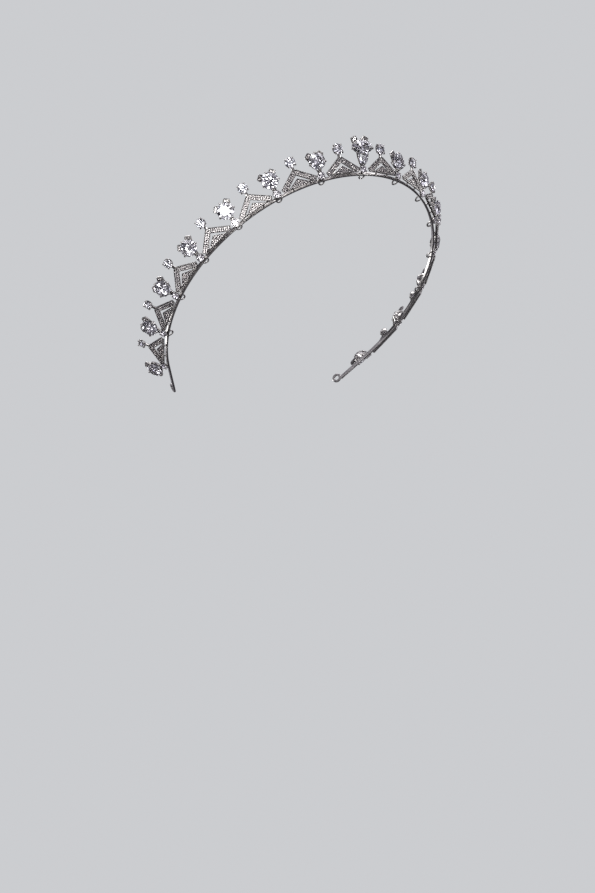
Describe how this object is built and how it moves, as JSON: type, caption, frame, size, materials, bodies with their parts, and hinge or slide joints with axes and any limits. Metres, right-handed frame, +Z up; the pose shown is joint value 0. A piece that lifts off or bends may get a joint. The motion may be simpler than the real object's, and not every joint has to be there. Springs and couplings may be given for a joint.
{
  "type": "bridal tiara",
  "caption": "Low open-backed headband tiara with alternating flower and peaked units set with clear stones, ending in pierced eyelets.",
  "frame": {"origin": "under the middle of the whole tiara, in the plane of the band's flat lower edge", "axes": "+X to the wearer's left, -Y to the front, +Z up, away from the face the band rests on"},
  "size_m": [0.1676, 0.1488, 0.0144],
  "materials": {
    "silver_metal": "polished rhodium-plated metal, pave-set faces",
    "clear_stone": "faceted clear stone"
  },
  "bodies": {
    "root": {"headband": "silver_metal", "flower_frame_right_7": "silver_metal", "flower_stone_right_7": "clear_stone", "flower_frame_right_6": "silver_metal", "flower_stone_right_6": "clear_stone", "flower_frame_right_5": "silver_metal", "flower_stone_right_5": "clear_stone", "flower_frame_right_4": "silver_metal", "flower_stone_right_4": "clear_stone", "flower_frame_right_3": "silver_metal", "flower_stone_right_3": "clear_stone", "flower_frame_right_2": "silver_metal", "flower_stone_right_2": "clear_stone", "flower_frame_right_1": "silver_metal", "flower_stone_right_1": "clear_stone", "flower_frame_centre": "silver_metal", "flower_stone_centre": "clear_stone", "flower_frame_left_1": "silver_metal", "flower_stone_left_1": "clear_stone", "flower_frame_left_2": "silver_metal", "flower_stone_left_2": "clear_stone", "flower_frame_left_3": "silver_metal", "flower_stone_left_3": "clear_stone", "flower_frame_left_4": "silver_metal", "flower_stone_left_4": "clear_stone", "flower_frame_left_5": "silver_metal", "flower_stone_left_5": "clear_stone", "flower_frame_left_6": "silver_metal", "flower_stone_left_6": "clear_stone", "flower_frame_left_7": "silver_metal", "flower_stone_left_7": "clear_stone", "peak_frame_right_7": "silver_metal", "peak_stone_right_7": "clear_stone", "peak_frame_right_6": "silver_metal", "peak_stone_right_6": "clear_stone", "peak_frame_right_5": "silver_metal", "peak_stone_right_5": "clear_stone", "peak_frame_right_4": "silver_metal", "peak_stone_right_4": "clear_stone", "peak_frame_right_3": "silver_metal", "peak_stone_right_3": "clear_stone", "peak_frame_right_2": "silver_metal", "peak_stone_right_2": "clear_stone", "peak_frame_right_1": "silver_metal", "peak_stone_right_1": "clear_stone", "peak_frame_left_1": "silver_metal", "peak_stone_left_1": "clear_stone", "peak_frame_left_2": "silver_metal", "peak_stone_left_2": "clear_stone", "peak_frame_left_3": "silver_metal", "peak_stone_left_3": "clear_stone", "peak_frame_left_4": "silver_metal", "peak_stone_left_4": "clear_stone", "peak_frame_left_5": "silver_metal", "peak_stone_left_5": "clear_stone", "peak_frame_left_6": "silver_metal", "peak_stone_left_6": "clear_stone", "peak_frame_left_7": "silver_metal", "peak_stone_left_7": "clear_stone"}
  },
  "joints": []
}
